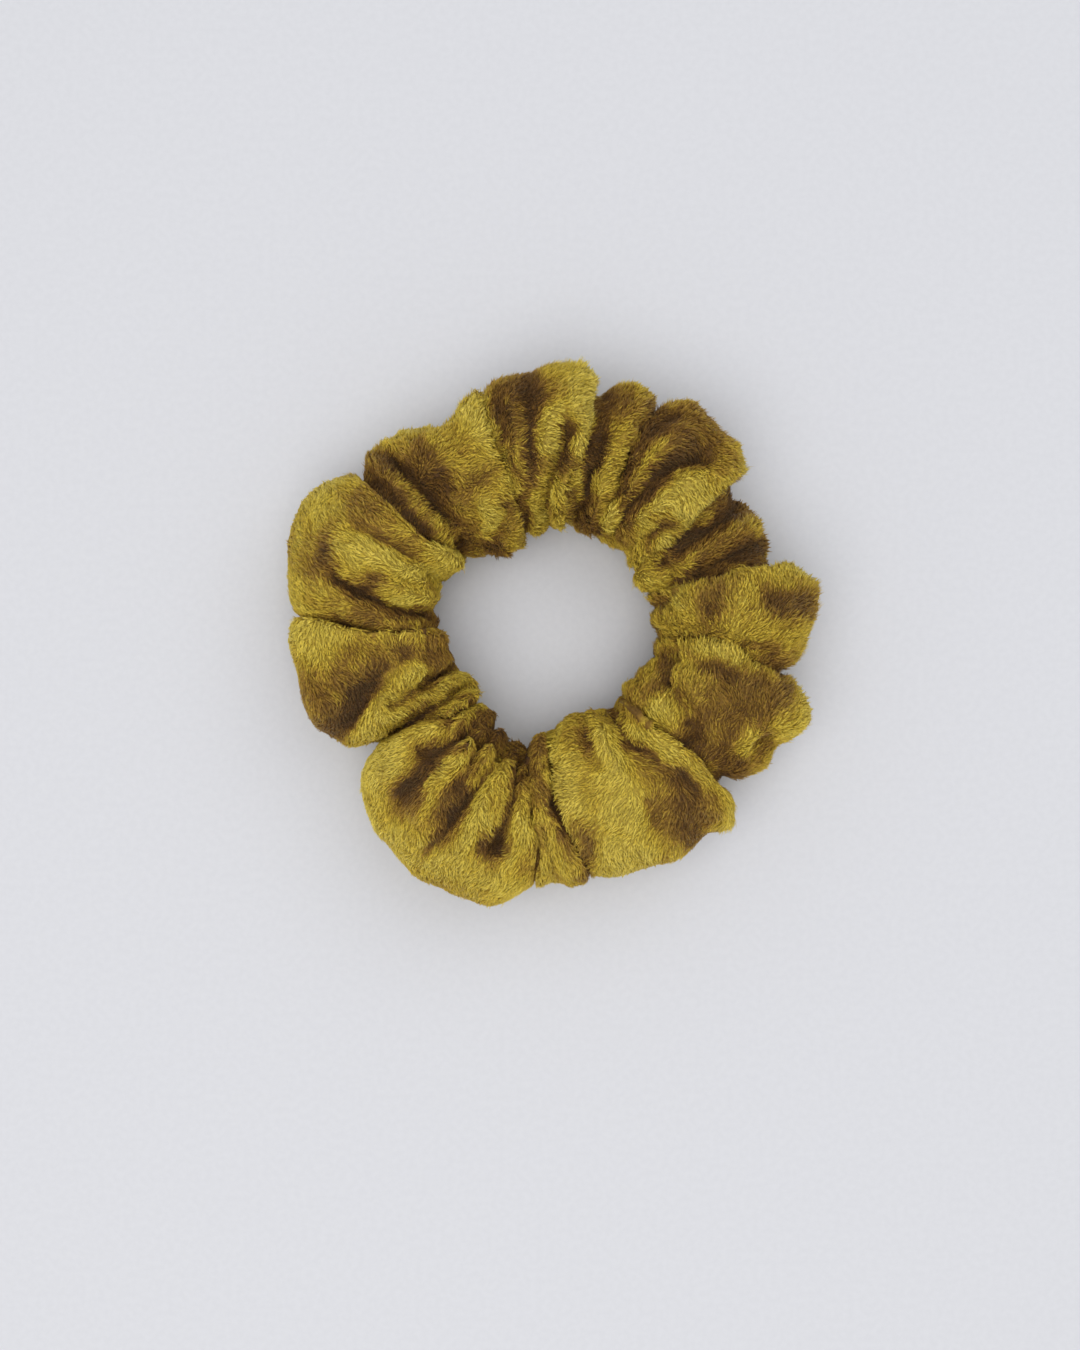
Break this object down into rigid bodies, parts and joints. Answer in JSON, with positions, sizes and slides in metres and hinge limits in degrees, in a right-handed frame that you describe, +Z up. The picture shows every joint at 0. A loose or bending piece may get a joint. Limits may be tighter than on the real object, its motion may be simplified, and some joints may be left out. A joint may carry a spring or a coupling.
{
  "type": "scrunchie",
  "caption": "Ring of gathered velvet tube over a loop of flat elastic, for holding a ponytail or bun.",
  "frame": {"origin": "on the ground, under the middle of the ring lying flat", "axes": "+Z up, through the hole; X and Y in the plane of the ring, the closing seam near -X"},
  "size_m": [0.0911, 0.0893, 0.0249],
  "materials": {
    "velvet": "mustard-gold crushed velvet, pile about 1.5 mm, darker olive brown where the pile is crushed",
    "elastic": "flat braided elastic, undyed white, matt",
    "elastic_thread": "spun polyester sewing thread, undyed",
    "seam_thread": "spun polyester sewing thread dyed to the velvet"
  },
  "bodies": {
    "cover": {"velvet_cover": "velvet", "casing_seam_needle_thread": "seam_thread", "casing_seam_bobbin_thread": "seam_thread", "closing_seam_needle_thread": "seam_thread", "closing_seam_bobbin_thread": "seam_thread"},
    "elastic": {"elastic_band": "elastic", "elastic_join_needle_thread": "elastic_thread", "elastic_join_bobbin_thread": "elastic_thread"}
  },
  "joints": [
    {"name": "elastic_slip", "type": "hinge", "parent": "cover", "child": "elastic", "pos_m": [0, 0, 0.011], "axis": [0, 0, 1], "continuous": true}
  ]
}
